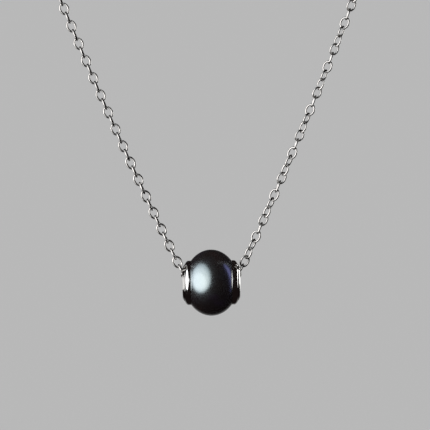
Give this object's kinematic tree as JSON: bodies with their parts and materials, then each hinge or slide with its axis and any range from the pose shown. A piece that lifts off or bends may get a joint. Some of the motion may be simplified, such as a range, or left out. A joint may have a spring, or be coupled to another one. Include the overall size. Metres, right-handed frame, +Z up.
{
  "type": "pearl necklace",
  "caption": "Dark drilled pearl with a flanged polished core, hung as a slider on an oval cable chain that closes at the nape with a claw clasp.",
  "frame": {"origin": "middle of the clasp line at the nape, where the neck holds the loop", "axes": "+Z up, away from the pearl; +X to the wearer's left, along the clasp; +Y towards the wearer's chest, square to the loop"},
  "size_m": [0.1034, 0.0104, 0.1972],
  "materials": {
    "nacre": "polished",
    "silver": "polished",
    "spring_steel": "satin"
  },
  "bodies": {
    "neck_loop": {"left_neck_run_1": "silver", "left_neck_run_2": "silver", "left_neck_run_3": "silver", "right_neck_run_1": "silver", "right_neck_run_2": "silver", "right_neck_run_3": "silver"},
    "strand_runs_4": {"left_strand_run_4": "silver", "right_strand_run_4": "silver"},
    "strand_runs_3": {"left_strand_run_3": "silver", "right_strand_run_3": "silver"},
    "strand_runs_2": {"left_strand_run_2": "silver", "right_strand_run_2": "silver"},
    "strand_runs_1": {"left_strand_run_1": "silver", "right_strand_run_1": "silver"},
    "links_14": {"left_link_14": "silver", "right_link_14": "silver"},
    "links_13": {"left_link_13": "silver", "right_link_13": "silver"},
    "links_12": {"left_link_12": "silver", "right_link_12": "silver"},
    "links_11": {"left_link_11": "silver", "right_link_11": "silver"},
    "links_10": {"left_link_10": "silver", "right_link_10": "silver"},
    "links_09": {"left_link_09": "silver", "right_link_09": "silver"},
    "links_08": {"left_link_08": "silver", "right_link_08": "silver"},
    "links_07": {"left_link_07": "silver", "right_link_07": "silver"},
    "links_06": {"left_link_06": "silver", "right_link_06": "silver"},
    "links_05": {"left_link_05": "silver", "right_link_05": "silver"},
    "links_04": {"left_link_04": "silver", "right_link_04": "silver"},
    "links_03": {"left_link_03": "silver", "right_link_03": "silver"},
    "links_02": {"left_link_02": "silver", "right_link_02": "silver"},
    "links_01": {"left_link_01": "silver", "right_link_01": "silver"},
    "bead_chain": {"bead_link_1": "silver", "bead_link_2": "silver", "bead_link_3": "silver", "bead_link_4": "silver", "bead_link_5": "silver", "bead_link_6": "silver"},
    "bead": {"pearl": "nacre", "core_tube": "silver", "left_cap": "silver", "right_cap": "silver"},
    "clasp": {"clasp_body": "silver", "clasp_lever_pin": "silver", "clasp_spring": "spring_steel"},
    "lever": {"clasp_lever": "silver"},
    "eye_ring": {"eye_ring": "silver"},
    "hook_ring": {"hook_ring": "silver"}
  },
  "joints": [
    {"name": "strand_runs_4_swing", "type": "hinge", "parent": "neck_loop", "child": "strand_runs_4", "pos_m": [0, 0, -0.06449], "axis": [1, 0, 0], "range_deg": [-20, 20]},
    {"name": "strand_runs_3_swing", "type": "hinge", "parent": "strand_runs_4", "child": "strand_runs_3", "pos_m": [0, 0, -0.09087], "axis": [1, 0, 0], "range_deg": [-20, 20]},
    {"name": "strand_runs_2_swing", "type": "hinge", "parent": "strand_runs_3", "child": "strand_runs_2", "pos_m": [0, 0, -0.11704], "axis": [1, 0, 0], "range_deg": [-20, 20]},
    {"name": "strand_runs_1_swing", "type": "hinge", "parent": "strand_runs_2", "child": "strand_runs_1", "pos_m": [0, 0, -0.14294], "axis": [1, 0, 0], "range_deg": [-20, 20]},
    {"name": "links_14_swing", "type": "hinge", "parent": "strand_runs_1", "child": "links_14", "pos_m": [0, 0, -0.1685], "axis": [1, 0, 0], "range_deg": [-12, 12]},
    {"name": "links_13_swing", "type": "hinge", "parent": "links_14", "child": "links_13", "pos_m": [0, 0, -0.16983], "axis": [1, 0, 0], "range_deg": [-12, 12]},
    {"name": "links_12_swing", "type": "hinge", "parent": "links_13", "child": "links_12", "pos_m": [0, 0, -0.17116], "axis": [1, 0, 0], "range_deg": [-12, 12]},
    {"name": "links_11_swing", "type": "hinge", "parent": "links_12", "child": "links_11", "pos_m": [0, 0, -0.17249], "axis": [1, 0, 0], "range_deg": [-12, 12]},
    {"name": "links_10_swing", "type": "hinge", "parent": "links_11", "child": "links_10", "pos_m": [0, 0, -0.17382], "axis": [1, 0, 0], "range_deg": [-12, 12]},
    {"name": "links_09_swing", "type": "hinge", "parent": "links_10", "child": "links_09", "pos_m": [0, 0, -0.17515], "axis": [1, 0, 0], "range_deg": [-12, 12]},
    {"name": "links_08_swing", "type": "hinge", "parent": "links_09", "child": "links_08", "pos_m": [0, 0, -0.17648], "axis": [1, 0, 0], "range_deg": [-12, 12]},
    {"name": "links_07_swing", "type": "hinge", "parent": "links_08", "child": "links_07", "pos_m": [0, 0, -0.1778], "axis": [1, 0, 0], "range_deg": [-12, 12]},
    {"name": "links_06_swing", "type": "hinge", "parent": "links_07", "child": "links_06", "pos_m": [0, 0, -0.17913], "axis": [1, 0, 0], "range_deg": [-12, 12]},
    {"name": "links_05_swing", "type": "hinge", "parent": "links_06", "child": "links_05", "pos_m": [0, 0, -0.18045], "axis": [1, 0, 0], "range_deg": [-12, 12]},
    {"name": "links_04_swing", "type": "hinge", "parent": "links_05", "child": "links_04", "pos_m": [0, 0, -0.18177], "axis": [1, 0, 0], "range_deg": [-12, 12]},
    {"name": "links_03_swing", "type": "hinge", "parent": "links_04", "child": "links_03", "pos_m": [0, 0, -0.18309], "axis": [1, 0, 0], "range_deg": [-12, 12]},
    {"name": "links_02_swing", "type": "hinge", "parent": "links_03", "child": "links_02", "pos_m": [0, 0, -0.18441], "axis": [1, 0, 0], "range_deg": [-12, 12]},
    {"name": "links_01_swing", "type": "hinge", "parent": "links_02", "child": "links_01", "pos_m": [0, 0, -0.18573], "axis": [1, 0, 0], "range_deg": [-12, 12]},
    {"name": "bead_chain_swing", "type": "hinge", "parent": "links_01", "child": "bead_chain", "pos_m": [0, 0, -0.18705], "axis": [1, 0, 0], "range_deg": [-12, 12]},
    {"name": "bead_spin", "type": "hinge", "parent": "bead_chain", "child": "bead", "pos_m": [0, 0, -0.18846], "axis": [1, 0, 0], "continuous": true},
    {"name": "clasp_roll", "type": "hinge", "parent": "neck_loop", "child": "clasp", "pos_m": [0, 0, 0], "axis": [1, 0, 0], "range_deg": [-20, 20]},
    {"name": "eye_ring_roll", "type": "hinge", "parent": "neck_loop", "child": "eye_ring", "pos_m": [0, 0, 0], "axis": [1, 0, 0], "range_deg": [-10, 10]},
    {"name": "hook_ring_roll", "type": "hinge", "parent": "neck_loop", "child": "hook_ring", "pos_m": [0, 0, 0], "axis": [1, 0, 0], "range_deg": [-10, 10]},
    {"name": "lever_open", "type": "hinge", "parent": "clasp", "child": "lever", "pos_m": [-0.00008, 0, 0.00111], "axis": [0, 1, 0], "range_deg": [0, 20], "stiffness_Nm_per_rad": 0.001, "deforming": ["clasp_spring"]}
  ],
  "couplings": [
    {"joint": "eye_ring_roll", "follows": "clasp_roll", "ratio": 0.5},
    {"joint": "hook_ring_roll", "follows": "clasp_roll", "ratio": 0.5}
  ]
}
